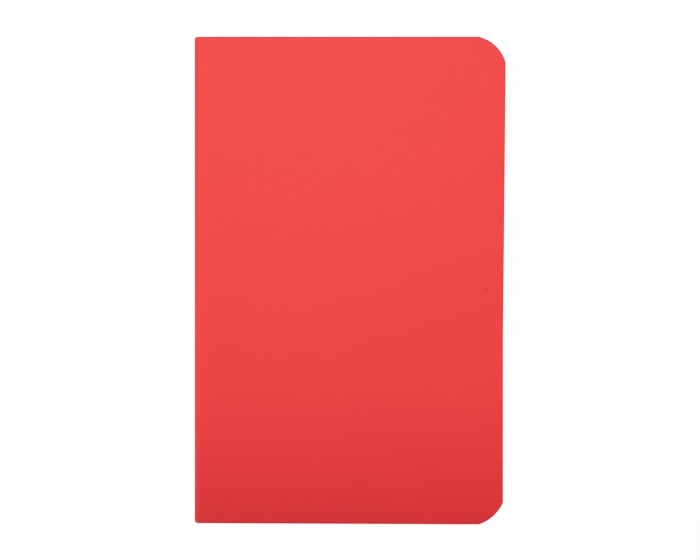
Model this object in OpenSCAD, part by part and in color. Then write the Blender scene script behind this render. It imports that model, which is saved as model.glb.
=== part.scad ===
// Pocket composition notebook, closed and lying on its back cover, in millimetres.
// The spine is at -X, the head at +Y and the front cover on top.
// The origin is in the middle of the outline, on the underside of the back cover.

/* [Trimmed outline] */
// Width at the tail, from the spine to the fore-edge
book_w = 88.5; // [60:0.5:140]
// Height at the fore-edge, from the tail to the head
book_h = 139.85; // [100:0.05:220]
// Extra width at the head, where the trimmed fore-edge leans out
head_flare = 0.75; // [0.1:0.05:2]
// Height above the tail at which the fore-edge starts to lean out
flare_from = 53; // [20:1:75]
// Rise of the trimmed tail edge towards the spine
tail_rise = 0.35; // [0.05:0.05:1]
// Radius of the knife that rounds the head corner
head_corner_r = 10.6; // [4:0.1:18]
// Radius of the knife that rounds the tail corner
tail_corner_r = 11.8; // [4:0.1:18]
// How far the head corner's circle passes the fore-edge
head_pass_side = 0.45; // [0.1:0.05:1.5]
// How far the head corner's circle passes the head edge
head_pass_end = 0.3; // [0.1:0.05:1.5]
// How far the tail corner's circle passes the fore-edge
tail_pass_side = 1.1; // [0.1:0.05:1.5]
// How far the tail corner's circle passes the tail edge
tail_pass_end = 0.65; // [0.1:0.05:1.5]
// Rounding of the two corners at the fold
fold_corner_r = 0.9; // [0.3:0.1:1.2]

/* [Leaves] */
// Number of leaves, two to each folded sheet
leaf_count = 40; // [32:2:80]
// Thickness of one leaf
leaf_t = 0.1; // [0.08:0.01:0.2]
// Play between the gathering and its cover
leaf_gap = 0.05; // [0.02:0.01:0.1]

/* [Cover card] */
// Thickness of the cover card
cover_t = 0.45; // [0.3:0.05:0.6]
// Outside radius of each of the two bends at the spine
fold_r = 1; // [0.8:0.1:1.4]

/* [Sewing] */
// Diameter of both threads
thread_d = 0.35; // [0.2:0.05:0.4]
// Length of a stitch along the spine
stitch_pitch = 7; // [3:0.5:12]
// Bare spine left before the first and after the last needle hole
stitch_margin = 5; // [3:0.5:15]
// Radius of the valley that the stitches press into the spine
valley_r = 0.8; // [0.65:0.05:1]
// Play round each thread
thread_gap = 0.02; // [0.01:0.01:0.04]
// Distance of the cut thread ends from the head and the tail
thread_end = 1.2; // [1:0.1:2]

/* [Hidden] */

$fn = 96;
THREAD_SIDES = 8;
LOOP_STEP = 45;
card_red = [0.94, 0.29, 0.28];
thread_red = [0.78, 0.2, 0.2];
page_ivory = [0.96, 0.94, 0.88];

// Thickness of the gathering and of the whole book
block_t = leaf_count * leaf_t;
block_inset = cover_t + leaf_gap;
book_t = block_t + 2 * block_inset;
mid_z = book_t / 2;

// Places across the book
x_spine = -(book_w + head_flare) / 2;
x_fore = x_spine + book_w;
x_head_fore = x_fore + head_flare;
x_hinge = x_spine + fold_r;
y_tail = -book_h / 2;
y_head = book_h / 2;
y_spine_tail = y_tail + tail_rise;
// Length of the cutting bodies that run past the outline
past = 5;

// The stitches lie flush with the spine, in a valley as deep as the thread
thread_r = thread_d / 2;
valley_depth = thread_d + thread_gap;
valley_x = x_spine + valley_depth - valley_r;
seam_x = x_spine + thread_r;
// The inner thread lies in the centre fold, half the gathering in from the spine
gutter_x = x_spine + block_inset + block_t / 2 + thread_r;
gutter_r = thread_r + thread_gap;
// The outer thread bends into a needle hole, runs in beside its own way out, and loops round the inner thread.
// The loop's straight steps clear the inner thread too.
bend_r = thread_r + 2 * thread_gap;
leg_r = (thread_d + thread_gap) / 2;
loop_r = (thread_d + thread_gap) / cos(LOOP_STEP / 2);
needle_r = leg_r + bend_r + thread_gap;
// The sheets part round each loop and make a pocket there
spread_x = gutter_x - thread_d;
pocket_r = loop_r + thread_r + thread_gap;
pocket_end_x = gutter_x + pocket_r;
// Needle holes, spread evenly about the middle of the spine
spine_h = y_head - y_spine_tail;
stitch_count = floor((spine_h - 2 * stitch_margin) / stitch_pitch);
first_hole_y = (y_head + y_spine_tail - stitch_count * stitch_pitch) / 2;
hole_ys = [for (i = [0 : stitch_count]) first_hole_y + i * stitch_pitch];
thread_tail_y = y_spine_tail + thread_end;
thread_head_y = y_head - thread_end;

// What a round knife takes off a corner at the origin, when its circle passes both edges a little
module corner_waste(r, pass_side, pass_end) {
    translate([pass_side - r, pass_end - r])
        difference() {
            square(r + past);
            circle(r);
        }
}

// Outline that the cover and the leaves are trimmed to together, seen from above
module trimmed_outline() {
    difference() {
        polygon([
            [x_spine, y_spine_tail],
            [x_fore - tail_corner_r, y_tail],
            [x_fore, y_tail],
            [x_fore, y_tail + flare_from],
            [x_head_fore, y_head - head_corner_r],
            [x_head_fore, y_head],
            [x_spine, y_head]
        ]);
        translate([x_head_fore, y_head])
            corner_waste(head_corner_r, head_pass_side, head_pass_end);
        translate([x_fore, y_tail])
            mirror([0, 1]) corner_waste(tail_corner_r, tail_pass_side, tail_pass_end);
        translate([x_spine, y_head])
            mirror([1, 0]) corner_waste(fold_corner_r, 0, 0);
        translate([x_spine, y_spine_tail])
            rotate(180) corner_waste(fold_corner_r, 0, 0);
    }
}

// Section across the bent spine, drawn inset from the outside of the cover
module bent_section(inset) {
    difference() {
        intersection() {
            translate([x_spine, 0]) square([fold_r, book_t]);
            union() {
                for (z = [fold_r, book_t - fold_r])
                    translate([x_hinge, z]) circle(fold_r - inset);
                translate([x_spine + inset, fold_r])
                    square([fold_r - inset, book_t - 2 * fold_r]);
            }
        }
        translate([valley_x, mid_z]) circle(valley_r + inset);
    }
}

// Runs a section along the spine and trims it with the rest of the book
module run_along_spine() {
    intersection() {
        translate([0, y_head + past, 0])
            rotate([90, 0, 0]) linear_extrude(book_h + 2 * past) children();
        linear_extrude(book_t) trimmed_outline();
    }
}

// Round hole across the book at one stitch
module cross_hole(y, from_x, to_x, r) {
    translate([from_x, y, mid_z]) rotate([0, 90, 0]) cylinder(h = to_x - from_x, r = r);
}

// Holes that the needle makes, from the spine to the centre fold
module needle_holes() {
    for (y = hole_ys) cross_hole(y, x_spine - past, gutter_x, needle_r);
}

// Pockets at the centre fold, one round each loop
module loop_pockets() {
    for (y = hole_ys) cross_hole(y, spread_x - thread_gap, pocket_end_x, pocket_r);
}

// Flat panel of the cover, from the end of the bend to the fore-edge
module cover_panel() {
    linear_extrude(cover_t)
        intersection() {
            trimmed_outline();
            translate([x_hinge, y_tail]) square([book_w, book_h]);
        }
}

module front_cover() {
    color(card_red) translate([0, 0, book_t - cover_t]) cover_panel();
}

module back_cover() {
    color(card_red) cover_panel();
}

// The part of the cover that stays with the leaves when either panel opens
module cover_spine() {
    color(card_red)
        difference() {
            run_along_spine() difference() {
                bent_section(0);
                bent_section(cover_t);
            }
            needle_holes();
        }
}

// The folded and nested sheets as one solid, with the sewing holes and the hollow of the centre fold
module page_block() {
    color(page_ivory)
        difference() {
            run_along_spine() union() {
                bent_section(block_inset);
                translate([x_hinge, block_inset]) square([book_w, block_t]);
            }
            needle_holes();
            loop_pockets();
            translate([gutter_x, y_head + past, mid_z])
                rotate([90, 0, 0]) cylinder(h = book_h + 2 * past, r = gutter_r);
        }
}

function unit(v) = v / norm(v);

// Way of the outer thread in at one hole, round the inner thread and out again
function stitch_points(y) = let (
        bend_x = seam_x + bend_r,
        twist_x = spread_x - bend_x,
        side = leg_r + bend_r
    ) [
        for (a = [0 : 45 : 90]) [bend_x - bend_r * cos(a), y - side + bend_r * sin(a), mid_z],
        for (a = [30 : 30 : 90])
            [bend_x + twist_x * a / 90, y - leg_r * cos(a), mid_z - leg_r * sin(a)],
        for (a = [0 : LOOP_STEP : 180]) [gutter_x + loop_r * sin(a), y, mid_z - loop_r * cos(a)],
        for (a = [90 : -30 : 30])
            [bend_x + twist_x * a / 90, y + leg_r * cos(a), mid_z + leg_r * sin(a)],
        for (a = [90 : -45 : 0]) [bend_x - bend_r * cos(a), y + side - bend_r * sin(a), mid_z]
    ];

// Round tube swept along a list of points, with the section carried along without twisting
module swept_thread(path) {
    last = len(path) - 1;
    n = THREAD_SIDES;
    tangents = [for (i = [0 : last]) unit(path[min(i + 1, last)] - path[max(i - 1, 0)])];
    normals = [
        for (i = 0, v = [0, 0, 1]; i <= last;
             i = i + 1, v = i > last ? v : unit(v - (v * tangents[i]) * tangents[i])) v
    ];
    rings = [
        for (i = [0 : last], k = [0 : n - 1])
            let (a = 360 * (k + 0.5) / n)
            path[i] + thread_r * (cos(a) * normals[i] + sin(a) * cross(tangents[i], normals[i]))
    ];
    walls = [
        for (i = [0 : last - 1], k = [0 : n - 1])
            let (a = i * n + k, b = i * n + (k + 1) % n)
            each [[a, b + n, b], [a, a + n, b + n]]
    ];
    caps = [[for (k = [0 : n - 1]) k], [for (k = [n - 1 : -1 : 0]) last * n + k]];
    polyhedron(points = rings, faces = concat(walls, caps));
}

module outer_thread() {
    color(thread_red)
        swept_thread([
            [seam_x, thread_tail_y, mid_z],
            for (y = hole_ys) each stitch_points(y),
            [seam_x, thread_head_y, mid_z]
        ]);
}

module inner_thread() {
    color(thread_red)
        translate([gutter_x, thread_head_y, mid_z])
            rotate([90, 0, 0]) cylinder(h = thread_head_y - thread_tail_y, r = thread_r);
}

front_cover();
back_cover();
cover_spine();
page_block();
outer_thread();
inner_thread();
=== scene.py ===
"""Looks of a pocket composition notebook, in metres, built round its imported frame.

The notebook lies on its back cover: spine at -X, head at +Y, front cover on top.
"""
import math

import bmesh
import bpy
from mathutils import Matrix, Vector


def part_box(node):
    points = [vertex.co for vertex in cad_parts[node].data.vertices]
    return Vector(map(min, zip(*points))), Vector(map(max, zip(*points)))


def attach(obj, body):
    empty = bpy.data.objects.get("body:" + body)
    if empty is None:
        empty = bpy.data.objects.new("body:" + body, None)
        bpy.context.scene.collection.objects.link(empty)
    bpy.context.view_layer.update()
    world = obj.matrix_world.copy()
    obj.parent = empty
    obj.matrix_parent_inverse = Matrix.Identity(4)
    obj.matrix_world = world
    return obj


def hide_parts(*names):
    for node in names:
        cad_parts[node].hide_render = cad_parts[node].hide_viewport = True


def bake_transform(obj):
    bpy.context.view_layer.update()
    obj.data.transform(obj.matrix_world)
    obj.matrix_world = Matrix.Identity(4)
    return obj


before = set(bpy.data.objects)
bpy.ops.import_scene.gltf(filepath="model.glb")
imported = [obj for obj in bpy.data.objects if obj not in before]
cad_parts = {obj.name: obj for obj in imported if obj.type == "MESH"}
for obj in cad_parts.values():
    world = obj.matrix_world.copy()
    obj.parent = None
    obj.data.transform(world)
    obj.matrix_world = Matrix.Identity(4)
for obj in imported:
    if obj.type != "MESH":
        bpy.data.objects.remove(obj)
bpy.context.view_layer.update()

MM = 0.001

# Places taken from the frame
spine_low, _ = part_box("cover_spine")
front_low, front_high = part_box("front_cover")
block_low, block_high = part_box("page_block")
X_SPINE = spine_low.x
X_HINGE = front_low.x
X_HEAD_FORE = front_high.x
Y_TAIL = front_low.y
Y_HEAD = front_high.y
BOOK_T = front_high.z
COVER_T = front_high.z - front_low.z
MID_Z = BOOK_T / 2
BLOCK_INSET = block_low.z
BLOCK_T = block_high.z - block_low.z

# Trimmed outline, whose finer measures the frame doesn't give
HEAD_FLARE = 0.75 * MM
FLARE_FROM = 53 * MM
TAIL_RISE = 0.35 * MM
HEAD_CORNER_R = 10.6 * MM
TAIL_CORNER_R = 11.8 * MM
HEAD_PASS_SIDE = 0.45 * MM
HEAD_PASS_END = 0.3 * MM
TAIL_PASS_SIDE = 1.1 * MM
TAIL_PASS_END = 0.65 * MM
FOLD_CORNER_R = 0.9 * MM
X_FORE = X_HEAD_FORE - HEAD_FLARE
Y_SPINE_TAIL = Y_TAIL + TAIL_RISE
# The last straight column of points, short of the two round corners
STRAIGHT_END_X = X_FORE - 12 * MM

# Folded sheets
SHEETS = 20
LEAF_PITCH = BLOCK_T / (2 * SHEETS)
LEAF_T = 0.88 * LEAF_PITCH
SHEET_FOLD_SPAN = 2.6 * MM
PAGE_FOLD_X = X_SPINE + BLOCK_INSET
PAGE_FLAT_X = PAGE_FOLD_X + SHEET_FOLD_SPAN

# Sewing
THREAD_D = 0.35 * MM
THREAD_R = THREAD_D / 2
THREAD_GAP = 0.02 * MM
STITCH_PITCH = 7 * MM
STITCH_MARGIN = 5 * MM
THREAD_END = 1.2 * MM
VALLEY_DEPTH = THREAD_D + THREAD_GAP
VALLEY_HALF_W = 0.75 * MM
DIMPLE_DEPTH = 0.45 * MM
DIMPLE_R = 0.3 * MM
SEAM_X = X_SPINE + THREAD_R
GUTTER_X = X_SPINE + BLOCK_INSET + BLOCK_T / 2 + THREAD_R
STITCHES = math.floor((Y_HEAD - Y_SPINE_TAIL - 2 * STITCH_MARGIN) / STITCH_PITCH)
FIRST_HOLE_Y = (Y_HEAD + Y_SPINE_TAIL - STITCHES * STITCH_PITCH) / 2
HOLE_YS = [FIRST_HOLE_Y + i * STITCH_PITCH for i in range(STITCHES + 1)]

# Cover bend, and how far beside the hinge the card turns when it opens
FOLD_R = X_HINGE - X_SPINE
# How far the paler card along the bend reaches, across and down: partly wear whitening, partly painted
# highlight that lifts the shade of the bend
RUB_AND_HIGHLIGHT_ACROSS = 0.9 * MM
RUB_AND_HIGHLIGHT_DOWN = 0.9 * MM
BEND_SPAN = 0.6 * MM

# Ruling of the leaves
RULE_PITCH = 6 * MM
RULE_W = 0.16 * MM
RULE_TOP_Y = Y_HEAD - 17 * MM
RULE_LOW_Y = Y_TAIL + 7 * MM


def mix(a, b, share):
    return a + (b - a) * share


# Node helpers
def add_node(tree, kind, inputs=None, **settings):
    """Adds a node. Each input is a socket to link or a value to set, by name or number."""
    node = tree.nodes.new(kind)
    for name, value in settings.items():
        setattr(node, name, value)
    for key, value in (inputs or {}).items():
        if isinstance(value, bpy.types.NodeSocket):
            tree.links.new(value, node.inputs[key])
        else:
            node.inputs[key].default_value = value
    return node


def calc(tree, operation, *values):
    """One sum in a tree, as its result's socket."""
    node = add_node(tree, "ShaderNodeMath", dict(enumerate(values)), operation=operation)
    return node.outputs[0]


def distance_from(tree, place, point=(0.0, 0.0, 0.0)):
    node = add_node(tree, "ShaderNodeVectorMath", {0: place, 1: point}, operation="DISTANCE")
    return node.outputs["Value"]


def ramp(tree, value, from_min, from_max, to_min=0.0, to_max=1.0, curve="LINEAR"):
    """A value carried from one range to another and clamped there."""
    spans = {"Value": value, "From Min": from_min, "From Max": from_max}
    spans.update({"To Min": to_min, "To Max": to_max})
    node = add_node(tree, "ShaderNodeMapRange", spans, interpolation_type=curve)
    return node.outputs["Result"]


def blend_colours(tree, share, a, b):
    node = add_node(tree, "ShaderNodeMix", {0: share, 6: a, 7: b}, data_type="RGBA")
    return node.outputs[2]


# Materials
def new_material(name):
    """A material with an empty tree, its object coordinates and its shader."""
    material = bpy.data.materials.new(name)
    material.use_nodes = True
    tree = material.node_tree
    shader = tree.nodes["Principled BSDF"]
    place = tree.nodes.new("ShaderNodeTexCoord").outputs["Object"]
    return material, tree, shader, place


def stretched(tree, place, scale):
    return add_node(tree, "ShaderNodeMapping", {"Vector": place, "Scale": scale}).outputs[0]


def noise(tree, place, scale, detail=2.0, roughness=0.5):
    values = {"Vector": place, "Scale": scale, "Detail": detail, "Roughness": roughness}
    return add_node(tree, "ShaderNodeTexNoise", values).outputs[0]


def attribute(tree, name):
    return add_node(tree, "ShaderNodeAttribute", attribute_name=name).outputs["Fac"]


def bump(tree, height, distance):
    values = {"Height": height, "Distance": distance, "Strength": 1.0}
    return add_node(tree, "ShaderNodeBump", values).outputs[0]


def background_rays(tree):
    """1 for rays that show the background: from the camera, in a reflection or through glass."""
    rays = tree.nodes.new("ShaderNodeLightPath").outputs
    seen = calc(tree, "MAXIMUM", rays["Is Camera Ray"], rays["Is Glossy Ray"])
    return calc(tree, "MAXIMUM", seen, rays["Is Transmission Ray"])


CARD_RED = (0.804, 0.0305, 0.0430, 1)
CARD_RED_DEEP = (0.786, 0.0285, 0.0406, 1)
CARD_INSIDE = (0.775, 0.032, 0.047, 1)
CARD_CUT = (0.84, 0.085, 0.095, 1)
# Paler card on the bend: partly wear whitening of the fold, partly painted highlight that lifts the shade
# of the bend
CARD_WORN_AND_LIT = (0.86, 0.11, 0.11, 1)
CARD_SHEEN_TINT = (1, 0.771, 0.542, 1)
FLECK_RED = (0.62, 0.02, 0.03, 1)
CARD_ROUGHNESS_LOW = 0.35
CARD_ROUGHNESS_HIGH = 0.43
CARD_SPECULAR = 0.136
CARD_RELIEF = 0.012 * MM
CUT_PALENESS = 0.8
GRAIN_PER_M = 2600
FIBRES_PER_M = 1.7 * GRAIN_PER_M
FIBRE_STRETCH = (1.0, 0.16, 1.0)
MOTTLE_PER_M = 55
FLECK_AT = (X_SPINE + 83.75 * MM, Y_TAIL + 67.2 * MM, BOOK_T)
FLECK_R = 0.92 * MM
FLECK_DULLNESS = 0.6


def fleck_share(tree, place, grain):
    """A small ragged spot near the fore-edge: 1 inside it and 0 outside."""
    ragged = calc(tree, "MULTIPLY_ADD", grain, 0.3 * FLECK_R, distance_from(tree, place, FLECK_AT))
    return ramp(tree, ragged, 0.7 * FLECK_R, 1.2 * FLECK_R, 1.0, 0.0, "SMOOTHSTEP")


def card_material():
    """Coral-red card, dyed through: fine grain along the spine, faint mottling, paler where it is cut."""
    material, tree, shader, place = new_material("coral_cover_card")
    grain = noise(tree, place, GRAIN_PER_M, 5.0, 0.6)
    fibres = noise(tree, stretched(tree, place, FIBRE_STRETCH), FIBRES_PER_M, 3.0)
    mottle = ramp(tree, noise(tree, place, MOTTLE_PER_M, 3.0), 0.35, 0.65, 0.0, 0.5)
    tone = calc(tree, "ADD", mottle, ramp(tree, fibres, 0.3, 0.7, 0.0, 0.5))
    face = blend_colours(tree, tone, CARD_RED, CARD_RED_DEEP)
    inside = blend_colours(tree, attribute(tree, "inside"), face, CARD_INSIDE)
    cut = calc(tree, "MULTIPLY", attribute(tree, "cut_edge"), CUT_PALENESS)
    trimmed = blend_colours(tree, cut, inside, CARD_CUT)
    patchy = ramp(tree, grain, 0.35, 0.7, 0.45, 1.0)
    # Paler along the bend, in patches: partly wear whitening, partly painted highlight that lifts the shade
    # of the bend
    rubbed_and_lit = calc(tree, "MULTIPLY", attribute(tree, "fold_wear_and_highlight"), patchy)
    worn_and_lit = blend_colours(tree, rubbed_and_lit, trimmed, CARD_WORN_AND_LIT)
    fleck = fleck_share(tree, place, grain)
    colour = blend_colours(tree, calc(tree, "MULTIPLY", fleck, FLECK_DULLNESS), worn_and_lit, FLECK_RED)
    tree.links.new(colour, shader.inputs["Base Color"])
    roughness = ramp(tree, grain, 0.3, 0.7, CARD_ROUGHNESS_LOW, CARD_ROUGHNESS_HIGH)
    tree.links.new(roughness, shader.inputs["Roughness"])
    shader.inputs["Specular IOR Level"].default_value = CARD_SPECULAR
    shader.inputs["Specular Tint"].default_value = CARD_SHEEN_TINT
    height = calc(tree, "ADD", calc(tree, "MULTIPLY", grain, 0.6), calc(tree, "MULTIPLY", fibres, 0.4))
    dented = calc(tree, "SUBTRACT", height, fleck)
    tree.links.new(bump(tree, dented, CARD_RELIEF), shader.inputs["Normal"])
    return material


PAGE_IVORY = (0.90, 0.865, 0.765, 1)
PAGE_IVORY_DEEP = (0.865, 0.825, 0.715, 1)
RULE_INK = (0.47, 0.56, 0.66, 1)
CUT_RULE_SHARE = 0.3
PAPER_FIBRES_PER_M = 3400
PAPER_FIBRE_STRETCH = (0.35, 1.0, 1.0)
PAPER_CLOUDS_PER_M = 140
PAPER_RELIEF = 0.012 * MM
OWN_TONE_SHARE = 0.4


def page_material():
    """Ivory writing paper, ruled across from the spine to the fore-edge, with a deep head margin."""
    material, tree, shader, place = new_material("ruled_ivory_paper")
    fibres = noise(tree, stretched(tree, place, PAPER_FIBRE_STRETCH), PAPER_FIBRES_PER_M, 5.0, 0.6)
    clouds = ramp(tree, noise(tree, place, PAPER_CLOUDS_PER_M, 3.0), 0.3, 0.7, 0.0, 0.3)
    tone = calc(tree, "ADD", ramp(tree, fibres, 0.3, 0.7, 0.0, 0.5), clouds)
    sheet = {"W": attribute(tree, "sheet")}
    own_tone = add_node(tree, "ShaderNodeTexWhiteNoise", sheet, noise_dimensions="1D").outputs["Value"]
    tone = calc(tree, "MULTIPLY_ADD", own_tone, OWN_TONE_SHARE, tone)
    paper = blend_colours(tree, tone, PAGE_IVORY, PAGE_IVORY_DEEP)
    y = add_node(tree, "ShaderNodeSeparateXYZ", {0: place}).outputs["Y"]
    off_rule = calc(tree, "PINGPONG", calc(tree, "SUBTRACT", y, RULE_TOP_Y), RULE_PITCH / 2)
    line = ramp(tree, off_rule, 0.4 * RULE_W, 0.6 * RULE_W, 1.0, 0.0)
    below_head = calc(tree, "LESS_THAN", y, RULE_TOP_Y + RULE_W)
    above_tail = calc(tree, "GREATER_THAN", y, RULE_LOW_Y)
    ruled = calc(tree, "MULTIPLY", calc(tree, "MULTIPLY", line, below_head), above_tail)
    faint = ramp(tree, attribute(tree, "cut_edge"), 0.0, 1.0, 1.0, CUT_RULE_SHARE)
    uneven = ramp(tree, fibres, 0.3, 0.7, 0.95, 0.7)
    inked = calc(tree, "MULTIPLY", calc(tree, "MULTIPLY", ruled, faint), uneven)
    tree.links.new(blend_colours(tree, inked, paper, RULE_INK), shader.inputs["Base Color"])
    shader.inputs["Roughness"].default_value = 0.8
    shader.inputs["Specular IOR Level"].default_value = 0.3
    tree.links.new(bump(tree, fibres, PAPER_RELIEF), shader.inputs["Normal"])
    return material


THREAD_RED = (0.62, 0.026, 0.032, 1)
THREAD_RED_DEEP = (0.40, 0.014, 0.018, 1)
FUZZ_PER_M = 16000
FUZZ_STRETCH = (1.0, 0.3, 1.0)
FUZZ_RELIEF = 0.02 * MM


def thread_material():
    """Red sewing thread, with fine fibres that run along its plies."""
    material, tree, shader, place = new_material("red_sewing_thread")
    fuzz = noise(tree, stretched(tree, place, FUZZ_STRETCH), FUZZ_PER_M, 4.0, 0.65)
    colour = blend_colours(tree, ramp(tree, fuzz, 0.3, 0.7), THREAD_RED, THREAD_RED_DEEP)
    tree.links.new(colour, shader.inputs["Base Color"])
    shader.inputs["Roughness"].default_value = 0.62
    shader.inputs["Sheen Weight"].default_value = 0.3
    shader.inputs["Sheen Roughness"].default_value = 0.4
    tree.links.new(bump(tree, fuzz, FUZZ_RELIEF), shader.inputs["Normal"])
    return material


FLOOR_WHITE = (0.9, 0.9, 0.9, 1)
FLOOR_SHADOW_SHARE = 0.05
SHADOW_NEAR = 0.10
SHADOW_FAR = 0.30


def floor_material():
    """White floor. The camera sees it almost pure white, with a little of the shadow kept near the book."""
    material, tree, shader, place = new_material("white_floor")
    shader.inputs["Base Color"].default_value = FLOOR_WHITE
    shader.inputs["Roughness"].default_value = 0.9
    shader.inputs["Specular IOR Level"].default_value = 0.0
    away = distance_from(tree, place)
    white_share = ramp(tree, away, SHADOW_NEAR, SHADOW_FAR, 1 - FLOOR_SHADOW_SHARE, 1.0, "SMOOTHSTEP")
    share = calc(tree, "MULTIPLY", background_rays(tree), white_share)
    white = add_node(tree, "ShaderNodeEmission", {"Color": (1, 1, 1, 1), "Strength": 1.0}).outputs[0]
    mixed = add_node(tree, "ShaderNodeMixShader", {0: share, 1: shader.outputs[0], 2: white}).outputs[0]
    tree.links.new(mixed, tree.nodes["Material Output"].inputs["Surface"])
    return material


# Trimmed outline of the cover and the leaves
CORNER_STEPS = 14


def tail_edge_y(x):
    """Tail edge, which rises a little towards the spine and is rounded at the fold."""
    slope_end = X_FORE - TAIL_CORNER_R
    share = min(1.0, max(0.0, (x - X_SPINE) / (slope_end - X_SPINE)))
    return mix(Y_SPINE_TAIL, Y_TAIL, share) + fold_corner_drop(x)


def head_edge_y(x):
    return Y_HEAD - fold_corner_drop(x)


def fold_corner_drop(x):
    """How far the rounded corner at the fold stays back from the edge."""
    inward = FOLD_CORNER_R - (x - X_SPINE)
    if inward <= 0:
        return 0.0
    return FOLD_CORNER_R - math.sqrt(max(0.0, FOLD_CORNER_R ** 2 - inward ** 2))


def fore_edge_x(y):
    share = (y - Y_TAIL - FLARE_FROM) / (Y_HEAD - HEAD_CORNER_R - Y_TAIL - FLARE_FROM)
    return X_FORE + HEAD_FLARE * min(1.0, max(0.0, share))


def corner_arc(radius, pass_side, pass_end, share):
    """A point on a round corner, from the end edge (0) to the fore-edge (1), inward from the corner."""
    first = math.asin((radius - pass_end) / radius)
    last = math.acos((radius - pass_side) / radius)
    angle = mix(first, last, share)
    inward = radius - pass_side - radius * math.cos(angle)
    down = radius - pass_end - radius * math.sin(angle)
    return inward, down


def corner_columns():
    """Columns over the two round corners: tail point, head point and share of the fore-edge's bend."""
    columns = []
    for step in range(CORNER_STEPS + 1):
        share = step / CORNER_STEPS
        inward, down = corner_arc(TAIL_CORNER_R, TAIL_PASS_SIDE, TAIL_PASS_END, share)
        tail = (X_FORE - inward, Y_TAIL + down)
        inward, down = corner_arc(HEAD_CORNER_R, HEAD_PASS_SIDE, HEAD_PASS_END, share)
        head = (X_HEAD_FORE - inward, Y_HEAD - down)
        columns.append((tail, head, share))
    return columns


def straight_column(x):
    return (x, tail_edge_y(x)), (x, head_edge_y(x)), 0.0


FORE_TAIL, FORE_HEAD, _ = corner_columns()[-1]


def point_on(column, row):
    """Place on a column at a share of its height; the last columns bend with the fore-edge."""
    tail, head, bend = column
    y = mix(tail[1], head[1], row)
    chord = min(1.0, max(0.0, (y - FORE_TAIL[1]) / (FORE_HEAD[1] - FORE_TAIL[1])))
    lean = fore_edge_x(y) - mix(FORE_TAIL[0], FORE_HEAD[0], chord)
    return mix(tail[0], head[0], row) + bend * lean, y


def spread(first, last, steps):
    return [mix(first, last, i / steps) for i in range(steps + 1)]


# Cover card: rows of points round each needle hole, in millimetres from it, and at both ends, as shares
HOLE_OFFSETS = [-0.9, -0.6, -0.42, -0.28, -0.14, 0, 0.14, 0.28, 0.42, 0.6, 0.9]
ROWS_BETWEEN_HOLES = 6
TAIL_ROWS = [0.0, 0.003, 0.008]
HEAD_ROWS = [0.992, 0.997, 1.0]
LAST_INNER_ROW = 0.991
LEAST_ROW_STEP = 0.0008
SEAM_STEPS = 12
BEND_STEPS = 12
FLAT_STEPS = 12
SEAM_TOLERANCE = 1e-7
CUT_ANGLE = math.radians(60)
CUT_BEVEL = 0.035 * MM


def card_rows():
    """Rows from tail to head, close together round each needle hole."""
    ys = [hole + offset * MM for hole in HOLE_YS for offset in HOLE_OFFSETS]
    for a, b in zip([Y_SPINE_TAIL] + HOLE_YS, HOLE_YS + [Y_HEAD]):
        ys += spread(a, b, ROWS_BETWEEN_HOLES)[1:-1]
    shares = [(y - Y_SPINE_TAIL) / (Y_HEAD - Y_SPINE_TAIL) for y in ys]
    rows = list(TAIL_ROWS)
    for share in sorted(shares):
        if share - rows[-1] > LEAST_ROW_STEP and share < LAST_INNER_ROW:
            rows.append(share)
    return rows + HEAD_ROWS


def rub_and_highlight(x, z):
    """Paler card along the bend: partly wear where pockets and shelves scuff a closed notebook, partly
    painted highlight that lifts the shade of the bend.
    """
    across, down = (x - X_SPINE) / RUB_AND_HIGHLIGHT_ACROSS, (BOOK_T - z) / RUB_AND_HIGHLIGHT_DOWN
    return math.exp(-across ** 2 - down ** 2)


def spine_sections():
    """Half the section of the bent card, from the seam up to the hinge: outside and inside points."""
    sections = []
    straight_end = BOOK_T - FOLD_R
    inner_r = FOLD_R - COVER_T
    for z in spread(MID_Z, straight_end, SEAM_STEPS):
        inward = VALLEY_DEPTH * valley(z - MID_Z)
        sections.append((X_SPINE + inward, z, X_SPINE + inward + COVER_T, z))
    for angle in spread(math.pi, math.pi / 2, BEND_STEPS)[1:]:
        along, up = math.cos(angle), math.sin(angle)
        sections.append((
            X_HINGE + FOLD_R * along, straight_end + FOLD_R * up,
            X_HINGE + inner_r * along, straight_end + inner_r * up))
    return sections


def valley(off_seam):
    """Smooth valley along the seam: 1 in its middle and 0 at its shoulders."""
    return (1 + math.cos(math.pi * min(1.0, abs(off_seam) / VALLEY_HALF_W))) / 2


def dimple(y, z):
    """How far the pull of the nearest stitch draws the card in at a needle hole."""
    nearest = min(HOLE_YS, key=lambda hole: abs(hole - y))
    away = ((y - nearest) ** 2 + (z - MID_Z) ** 2) / DIMPLE_R ** 2
    return DIMPLE_DEPTH * math.exp(-away)


def half_cover(name, front):
    """Half of the folded card, from the seam to the fore-edge, as one closed skin.

    The inside of a dimple stops at the hinge line, so that it stays with the spine when the cover opens.
    """
    rows = card_rows()
    grid = []
    for x_out, z_out, x_in, z_in in spine_sections():
        column = straight_column(x_out)
        line = []
        for row in rows:
            _, y = point_on(column, row)
            pull = dimple(y, z_out)
            pulled_in = max(x_in, min(x_in + pull, X_HINGE))
            line.append(((x_out + pull, y, z_out), (pulled_in, y, z_in), rub_and_highlight(x_out, z_out)))
        grid.append(line)
    flat_xs = spread(X_HINGE, X_HINGE + BEND_SPAN, BEND_STEPS)[1:]
    flat_xs += spread(X_HINGE + BEND_SPAN, STRAIGHT_END_X, FLAT_STEPS)[1:]
    for column in [straight_column(x) for x in flat_xs] + corner_columns():
        line = []
        for row in rows:
            x, y = point_on(column, row)
            line.append(((x, y, BOOK_T), (x, y, BOOK_T - COVER_T), rub_and_highlight(x, BOOK_T)))
        grid.append(line)
    return shell_object(name, grid, front)


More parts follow.
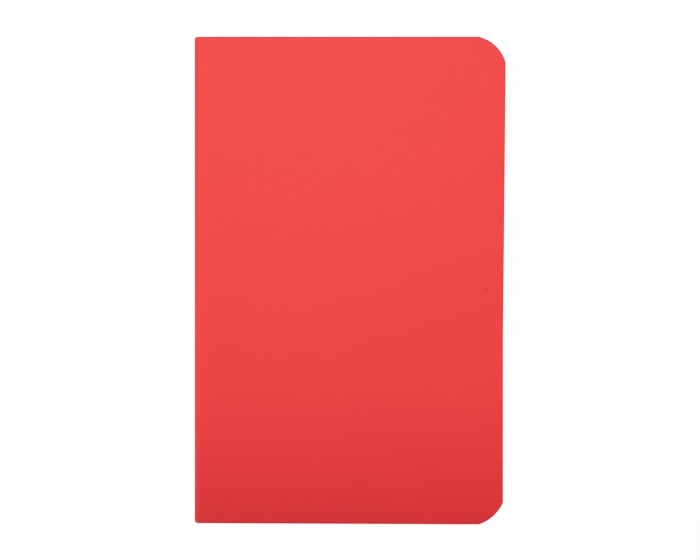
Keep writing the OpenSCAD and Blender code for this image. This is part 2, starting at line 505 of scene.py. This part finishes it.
def shell_object(name, grid, front):
    """Closes two matching grids of points into a shell. The back half is the front half turned over."""
    mesh = bmesh.new()
    # Per point, how much paler the bend is: partly wear, partly painted highlight
    wear_and_highlight_layer = mesh.verts.layers.float.new("fold_wear_and_highlight")
    inside_layer = mesh.faces.layers.float.new("inside")
    cut_layer = mesh.faces.layers.float.new("cut_edge")
    bevel_layer = mesh.edges.layers.float.new("bevel_weight_edge")
    sides = ([], [])
    for line in grid:
        for side in (0, 1):
            made = []
            for point in line:
                x, y, z = point[side]
                vertex = mesh.verts.new((x, y, z if front else BOOK_T - z))
                vertex[wear_and_highlight_layer] = point[2] if side == 0 else 0.0
                made.append(vertex)
            sides[side].append(made)

    def face(corners, inside, cut):
        made = mesh.faces.new(corners if front else corners[::-1])
        made.smooth = True
        made[inside_layer] = inside
        made[cut_layer] = cut

    outer, inner = sides
    columns, rows = len(grid), len(grid[0])
    for i in range(columns - 1):
        for j in range(rows - 1):
            face([outer[i][j], outer[i + 1][j], outer[i + 1][j + 1], outer[i][j + 1]], 0.0, 0.0)
            face([inner[i][j], inner[i][j + 1], inner[i + 1][j + 1], inner[i + 1][j]], 1.0, 0.0)
        face([outer[i][0], inner[i][0], inner[i + 1][0], outer[i + 1][0]], 0.0, 1.0)
        face([outer[i][-1], outer[i + 1][-1], inner[i + 1][-1], inner[i][-1]], 0.0, 1.0)
    for j in range(rows - 1):
        face([outer[-1][j], inner[-1][j], inner[-1][j + 1], outer[-1][j + 1]], 0.0, 1.0)
        face([outer[0][j], outer[0][j + 1], inner[0][j + 1], inner[0][j]], 0.0, 1.0)
    for edge in mesh.edges:
        at_seam = all(abs(vertex.co.z - MID_Z) < SEAM_TOLERANCE for vertex in edge.verts)
        if not at_seam and edge.calc_face_angle(0.0) > CUT_ANGLE:
            edge[bevel_layer] = 1.0
    data = bpy.data.meshes.new(name)
    mesh.to_mesh(data)
    mesh.free()
    return bpy.data.objects.new(name, data)


def soften_cut(piece):
    """Rounds the knife-cut edges by a hair, so that they catch the light."""
    bpy.context.scene.collection.objects.link(piece)
    modifier = piece.modifiers.new("soften", "BEVEL")
    modifier.limit_method = "WEIGHT"
    modifier.width = CUT_BEVEL
    modifier.segments = 2
    modifier.harden_normals = True
    settled = plain_copy(piece)
    bpy.data.objects.remove(piece)
    return settled


def plain_copy(source):
    """The source with its modifiers worked out, as a plain mesh in a new object."""
    evaluated = source.evaluated_get(bpy.context.evaluated_depsgraph_get())
    data = bpy.data.meshes.new_from_object(evaluated)
    name = source.name
    source.name = name + "_source"
    data.name = name
    copy = bpy.data.objects.new(name, data)
    bpy.context.scene.collection.objects.link(copy)
    return copy


# Geometry trees
def shape_tree(name, inputs):
    """A geometry tree with named inputs, and the sockets of those inputs."""
    tree = bpy.data.node_groups.new(name, "GeometryNodeTree")
    tree.interface.new_socket("Geometry", in_out="INPUT", socket_type="NodeSocketGeometry")
    for label, kind in inputs:
        tree.interface.new_socket(label, in_out="INPUT", socket_type="NodeSocket" + kind)
    tree.interface.new_socket("Geometry", in_out="OUTPUT", socket_type="NodeSocketGeometry")
    return tree, tree.nodes.new("NodeGroupInput").outputs


def close_tree(tree, geometry):
    """Ends a tree in Realize Instances and Set Material."""
    tree.interface.new_socket("Material", in_out="INPUT", socket_type="NodeSocketMaterial")
    material = tree.nodes.new("NodeGroupInput").outputs["Material"]
    real = add_node(tree, "GeometryNodeRealizeInstances", {0: geometry}).outputs[0]
    done = add_node(tree, "GeometryNodeSetMaterial", {0: real, "Material": material})
    out = tree.nodes.new("NodeGroupOutput")
    tree.links.new(done.outputs[0], out.inputs[0])


def grow(start, tree, values):
    """Runs a geometry tree on a start object and keeps its result as a plain piece of the same name."""
    bpy.context.scene.collection.objects.link(start)
    modifier = start.modifiers.new("grow", "NODES")
    modifier.node_group = tree
    for item in tree.interface.items_tree:
        if item.item_type == "SOCKET" and item.in_out == "INPUT" and item.name in values:
            modifier[item.identifier] = values[item.name]
    piece = plain_copy(start)
    start.modifiers.remove(modifier)
    bpy.data.objects.remove(start)
    return piece


# Nested leaves: columns of points across a leaf, which crowd towards its fold, and rows up it
FOLD_STEPS = 18
FOLD_CROWDING = 1.5
LEAF_STEPS = 3
LEAF_ROWS = 11
# How square the outermost and the innermost sheet are bent: a lower power is squarer
OUTER_SQUARENESS = 0.34
INNER_SQUARENESS = 0.9
# Each leaf ends short by up to the play at its fore-edge, spread over the reach beyond its bend
TRIM_PLAY = 0.03 * MM
TRIM_REACH = 80 * MM
TRIM_SEED = 7
# Added to or taken from a sheet's number, so that each of its two leaves draws its own play
SIDE_NUMBER = 0.4
# Welds only the rims that coincide
WELD_DISTANCE = 0.0001 * MM


def open_sheet():
    """One sheet as it lies open before it is folded: its fold is at X 0 and both leaves are trimmed."""
    half = []
    (_, tail_y), (_, head_y), bend = straight_column(PAGE_FLAT_X)
    for step in range(1, FOLD_STEPS + 1):
        x = PAGE_FOLD_X + SHEET_FOLD_SPAN * (step / FOLD_STEPS) ** FOLD_CROWDING
        half.append(((x, tail_y), (x, head_y), bend))
    half += [straight_column(x) for x in spread(PAGE_FLAT_X, STRAIGHT_END_X, LEAF_STEPS)[1:]]
    half += corner_columns()
    lines = []
    for column in half:
        points = [point_on(column, row) for row in spread(0, 1, LEAF_ROWS)]
        lines.append([(x - PAGE_FOLD_X, y) for x, y in points])
    fold = [(0.0, y) for _, y in lines[0]]
    lines = [[(-x, y) for x, y in line] for line in reversed(lines)] + [fold] + lines
    width = LEAF_ROWS + 1
    vertices = [(x, y, 0.0) for line in lines for x, y in line]
    faces = []
    for i in range(len(lines) - 1):
        for j in range(LEAF_ROWS):
            a = i * width + j
            faces.append((a, a + width, a + width + 1, a + 1))
    data = bpy.data.meshes.new("leaves")
    data.from_pydata(vertices, [], faces)
    return bpy.data.objects.new("leaves", data)


def nested_copies(tree, given):
    """One open sheet for each sheet of the gathering, numbered from the outermost."""
    copies = add_node(tree, "GeometryNodePoints", {"Count": given["Sheets"]}).outputs[0]
    number = tree.nodes.new("GeometryNodeInputIndex").outputs[0]
    numbered = add_node(
        tree, "GeometryNodeStoreNamedAttribute", {0: copies, "Name": "sheet", "Value": number},
        data_type="FLOAT", domain="POINT").outputs[0]
    placed = add_node(
        tree, "GeometryNodeInstanceOnPoints", {"Points": numbered, "Instance": given["Geometry"]})
    return add_node(tree, "GeometryNodeRealizeInstances", {0: placed.outputs[0]}).outputs[0]


def folded_place(tree, given):
    """Where a point of an open sheet lies once the sheet is folded round the ones inside it."""
    sheet = add_node(
        tree, "GeometryNodeInputNamedAttribute", {"Name": "sheet"}, data_type="FLOAT").outputs[0]
    place = tree.nodes.new("GeometryNodeInputPosition").outputs[0]
    x, y, _ = add_node(tree, "ShaderNodeSeparateXYZ", {0: place}).outputs
    away = calc(tree, "ABSOLUTE", x)
    side = calc(tree, "SIGN", x)
    deep = calc(tree, "ADD", calc(tree, "MULTIPLY", sheet, given["Leaf Pitch"]), given["Leaf Thickness"])
    inner_share = calc(tree, "DIVIDE", sheet, calc(tree, "SUBTRACT", given["Sheets"], 1.0))

    # The bend at the fold is a superellipse between the spine side and the flat leaf
    power = ramp(tree, inner_share, 0.0, 1.0, given["Outer Squareness"], given["Inner Squareness"])
    turn = ramp(tree, away, 0.0, given["Fold Span"], 0.0, math.pi / 2, "SMOOTHSTEP")
    reach = calc(tree, "SUBTRACT", given["Fold Span"], deep)
    back = calc(tree, "MULTIPLY", reach, calc(tree, "POWER", calc(tree, "COSINE", turn), power))
    rise = calc(tree, "MULTIPLY", calc(tree, "SUBTRACT", given["Half Height"], deep),
                calc(tree, "POWER", calc(tree, "SINE", turn), power))

    # The valley under the stitches dies away towards the innermost sheet and the flat leaf
    near = calc(tree, "MINIMUM", calc(tree, "DIVIDE", rise, given["Valley Half Width"]), 1.0)
    dent = calc(tree, "MULTIPLY_ADD", calc(tree, "COSINE", calc(tree, "MULTIPLY", near, math.pi)), 0.5, 0.5)
    near_fold = calc(tree, "MULTIPLY", ramp(tree, away, 0.0, given["Fold Span"], 1.0, 0.0, "SMOOTHSTEP"),
                     calc(tree, "SUBTRACT", 1.0, inner_share))
    dent = calc(tree, "MULTIPLY", calc(tree, "MULTIPLY", dent, given["Valley Depth"]), near_fold)

    # Each leaf has its own play at the trimmed fore-edge
    play = add_node(tree, "FunctionNodeRandomValue", {
        "Min": calc(tree, "MULTIPLY", given["Trim Play"], -1.0), "Max": 0.0,
        "ID": calc(tree, "MULTIPLY_ADD", side, SIDE_NUMBER, sheet), "Seed": given["Seed"]},
        data_type="FLOAT").outputs[1]
    beyond = calc(tree, "MAXIMUM", calc(tree, "SUBTRACT", away, given["Fold Span"]), 0.0)
    short = calc(tree, "MULTIPLY", play, ramp(tree, beyond, 0.0, TRIM_REACH))

    flat_x = calc(tree, "ADD", given["Spine Side"], given["Fold Span"])
    new_x = calc(tree, "ADD", calc(tree, "SUBTRACT", flat_x, back), calc(tree, "ADD", dent, beyond))
    new_x = calc(tree, "ADD", new_x, short)
    new_z = calc(tree, "MULTIPLY_ADD", side, rise, given["Middle"])
    return add_node(tree, "ShaderNodeCombineXYZ", {0: new_x, 1: y, 2: new_z}).outputs[0]


def with_thickness(tree, folded, thickness):
    """Raises a second side on the folded sheets, marks the cut edges and welds the rims."""
    raised = add_node(
        tree, "GeometryNodeExtrudeMesh", {0: folded, "Offset Scale": thickness, "Individual": False},
        mode="FACES")
    marked = {0: raised.outputs[0], "Selection": raised.outputs["Side"], "Name": "cut_edge", "Value": 1.0}
    thick = add_node(
        tree, "GeometryNodeStoreNamedAttribute", marked, data_type="FLOAT", domain="FACE").outputs[0]
    under = add_node(tree, "GeometryNodeFlipFaces", {0: folded}).outputs[0]
    both = tree.nodes.new("GeometryNodeJoinGeometry")
    tree.links.new(thick, both.inputs[0])
    tree.links.new(under, both.inputs[0])
    welded = {0: both.outputs[0], "Distance": WELD_DISTANCE}
    return add_node(tree, "GeometryNodeMergeByDistance", welded).outputs[0]


def folding_tree():
    """Repeats the open sheet, folds each copy inside the one before, and gives it its thickness."""
    tree, given = shape_tree("fold_and_nest", [
        ("Sheets", "Int"), ("Leaf Pitch", "Float"), ("Leaf Thickness", "Float"), ("Fold Span", "Float"),
        ("Spine Side", "Float"), ("Middle", "Float"), ("Half Height", "Float"), ("Valley Depth", "Float"),
        ("Valley Half Width", "Float"), ("Trim Play", "Float"), ("Outer Squareness", "Float"),
        ("Inner Squareness", "Float"), ("Seed", "Int")])
    sheets = nested_copies(tree, given)
    place = {0: sheets, "Position": folded_place(tree, given)}
    folded = add_node(tree, "GeometryNodeSetPosition", place).outputs[0]
    close_tree(tree, with_thickness(tree, folded, given["Leaf Thickness"]))
    return tree


def make_leaves(paper):
    return grow(open_sheet(), folding_tree(), {
        "Sheets": SHEETS, "Leaf Pitch": LEAF_PITCH, "Leaf Thickness": LEAF_T, "Fold Span": SHEET_FOLD_SPAN,
        "Spine Side": PAGE_FOLD_X, "Middle": MID_Z, "Half Height": BLOCK_T / 2,
        "Valley Depth": VALLEY_DEPTH, "Valley Half Width": VALLEY_HALF_W, "Trim Play": TRIM_PLAY,
        "Outer Squareness": OUTER_SQUARENESS, "Inner Squareness": INNER_SQUARENESS, "Seed": TRIM_SEED,
        "Material": paper})


# Sewing thread
LOOP_STEP = 45
TWIST_PITCH = 1.1 * MM
PLY_STEP = 0.09 * MM
PLY_SIDES = 8


def stitch_points(y):
    """Way of the outer thread in at one hole, round the inner thread and out again."""
    bend_r = THREAD_R + 2 * THREAD_GAP
    leg_r = (THREAD_D + THREAD_GAP) / 2
    loop_r = (THREAD_D + THREAD_GAP) / math.cos(math.radians(LOOP_STEP / 2))
    bend_x = SEAM_X + bend_r
    twist_x = GUTTER_X - THREAD_D - bend_x
    inward = []
    for angle in (0, 45, 90):
        turn = math.radians(angle)
        inward.append((bend_x - bend_r * math.cos(turn), -leg_r - bend_r + bend_r * math.sin(turn), 0.0))
    for angle in (30, 60, 90):
        turn = math.radians(angle)
        inward.append((bend_x + twist_x * angle / 90, -leg_r * math.cos(turn), -leg_r * math.sin(turn)))
    loop = []
    for angle in range(0, 181, LOOP_STEP):
        turn = math.radians(angle)
        loop.append((GUTTER_X + loop_r * math.sin(turn), 0.0, -loop_r * math.cos(turn)))
    outward = [(x, -along, -up) for x, along, up in reversed(inward)]
    return [(x, y + along, MID_Z + up) for x, along, up in inward + loop + outward]


def thread_path():
    """The whole outer thread as a line of points, from the tail to the head."""
    points = [(SEAM_X, Y_SPINE_TAIL + THREAD_END, MID_Z)]
    for y in HOLE_YS:
        points += stitch_points(y)
    points.append((SEAM_X, Y_HEAD - THREAD_END, MID_Z))
    data = bpy.data.meshes.new("stitches")
    data.from_pydata(points, [(i, i + 1) for i in range(len(points) - 1)], [])
    return bpy.data.objects.new("stitches", data)


def ply_tree():
    """Lays two plies round a line, twisted about each other."""
    tree, given = shape_tree("twist_two_plies", [
        ("Ply Radius", "Float"), ("Twist Pitch", "Float"), ("Step", "Float"), ("Sides", "Int")])
    line = add_node(tree, "GeometryNodeMeshToCurve", {0: given["Geometry"]}).outputs[0]
    even = add_node(
        tree, "GeometryNodeResampleCurve", {0: line, "Length": given["Step"]}, mode="LENGTH").outputs[0]
    both = tree.nodes.new("GeometryNodeJoinGeometry")
    run = tree.nodes.new("GeometryNodeSplineParameter").outputs["Length"]
    normal = tree.nodes.new("GeometryNodeInputNormal").outputs[0]
    along = tree.nodes.new("GeometryNodeInputTangent").outputs[0]
    angle = calc(tree, "MULTIPLY", calc(tree, "DIVIDE", run, given["Twist Pitch"]), 2 * math.pi)
    turned = add_node(
        tree, "ShaderNodeVectorRotate", {"Vector": normal, "Axis": along, "Angle": angle},
        rotation_type="AXIS_ANGLE").outputs[0]
    circle = {"Resolution": given["Sides"], "Radius": given["Ply Radius"]}
    ring = add_node(tree, "GeometryNodeCurvePrimitiveCircle", circle).outputs[0]
    for way in (1.0, -1.0):
        reach = calc(tree, "MULTIPLY", given["Ply Radius"], way)
        offset = add_node(
            tree, "ShaderNodeVectorMath", {0: turned, "Scale": reach}, operation="SCALE").outputs[0]
        ply = add_node(tree, "GeometryNodeSetPosition", {0: even, "Offset": offset}).outputs[0]
        swept = {0: ply, "Profile Curve": ring, "Fill Caps": True}
        tube = add_node(tree, "GeometryNodeCurveToMesh", swept).outputs[0]
        tree.links.new(tube, both.inputs[0])
    smooth = add_node(tree, "GeometryNodeSetShadeSmooth", {0: both.outputs[0]}).outputs[0]
    close_tree(tree, smooth)
    return tree


def make_stitches(yarn):
    return grow(thread_path(), ply_tree(), {
        "Ply Radius": THREAD_R / 2, "Twist Pitch": TWIST_PITCH, "Step": PLY_STEP, "Sides": PLY_SIDES,
        "Material": yarn})


# Camera straight above, with a long lens
PX_PER_MM = 3.4855
AIM_Y = 0.17 * MM
PHOTO_W_PX = 700
LENS = 100


def place_camera():
    data = bpy.data.cameras.new("camera")
    data.lens = LENS
    camera = bpy.data.objects.new("camera", data)
    field = PHOTO_W_PX / PX_PER_MM * MM
    camera.location = (0.0, AIM_Y, BOOK_T + field * LENS / data.sensor_width)
    bpy.context.scene.collection.objects.link(camera)
    bpy.context.scene.camera = camera


# Light and floor: one wide gridded softbox over the head, whose beam fades towards the tail
KEY_TILT = math.radians(8.57)
KEY_LEAN = math.radians(1.5)
KEY_AWAY = 0.65
KEY_HIT_Y = 0.181
KEY_WIDTH = 0.9
KEY_DEPTH = 0.51
KEY_SPREAD = math.radians(10.4)
KEY_WATTS = 0.8765
KEY_COLOUR = (1.0, 0.97, 0.93)
SKY_LIGHT = 0.42
# The floor leaves room for the open back cover and the crease below it
CREASE_ROOM = 0.17 * MM
FLOOR_DROP = COVER_T + CREASE_ROOM
FLOOR_HALF = 3.0


def hang_softbox():
    data = bpy.data.lights.new("head_softbox", "AREA")
    data.shape = "RECTANGLE"
    data.size = KEY_WIDTH
    data.size_y = KEY_DEPTH
    data.spread = KEY_SPREAD
    data.energy = KEY_WATTS
    data.color = KEY_COLOUR
    softbox = bpy.data.objects.new("head_softbox", data)
    up = BOOK_T + KEY_AWAY * math.cos(KEY_TILT)
    softbox.location = (0.0, KEY_HIT_Y + KEY_AWAY * math.sin(KEY_TILT), up)
    softbox.rotation_euler = (-KEY_TILT, -KEY_LEAN, 0.0)
    bpy.context.scene.collection.objects.link(softbox)


def lay_floor():
    ways = [(-1, -1), (1, -1), (1, 1), (-1, 1)]
    corners = [(x * FLOOR_HALF, y * FLOOR_HALF, -FLOOR_DROP) for x, y in ways]
    data = bpy.data.meshes.new("floor")
    data.from_pydata(corners, [], [(0, 1, 2, 3)])
    data.materials.append(floor_material())
    floor = bpy.data.objects.new("floor", data)
    bpy.context.scene.collection.objects.link(floor)


def light_sky():
    """A white sky, which lights the scene less than it shows."""
    world = bpy.data.worlds.new("studio")
    bpy.context.scene.world = world
    world.use_nodes = True
    tree = world.node_tree
    sky = tree.nodes["Background"].inputs
    tree.links.new(ramp(tree, background_rays(tree), 0.0, 1.0, SKY_LIGHT, 1.0), sky["Strength"])
    sky["Color"].default_value = (1.0, 1.0, 1.0, 1)


def dress(piece, slot, *nodes):
    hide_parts(*nodes)


# Pieces, with the leaves and stitches on the book block's body
card = card_material()
paper = page_material()
yarn = thread_material()

front_half = soften_cut(half_cover("front_half_of_cover", True))
front_half.data.materials.append(card)
dress(front_half, "cover_card", "front_cover", "cover_spine")
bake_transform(front_half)

back_half = soften_cut(half_cover("back_half_of_cover", False))
back_half.data.materials.append(card)
dress(back_half, "cover_card", "back_cover", "cover_spine")
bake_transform(back_half)

leaves = make_leaves(paper)
dress(leaves, "page_paper", "page_block")
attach(leaves, "book_block")

stitches = make_stitches(yarn)
dress(stitches, "sewing_thread", "outer_thread")
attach(stitches, "book_block")

inner_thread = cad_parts["inner_thread"]
inner_thread.data.materials.clear()
inner_thread.data.materials.append(yarn)

place_camera()
hang_softbox()
lay_floor()
light_sky()
bpy.context.scene.view_settings.view_transform = "Standard"
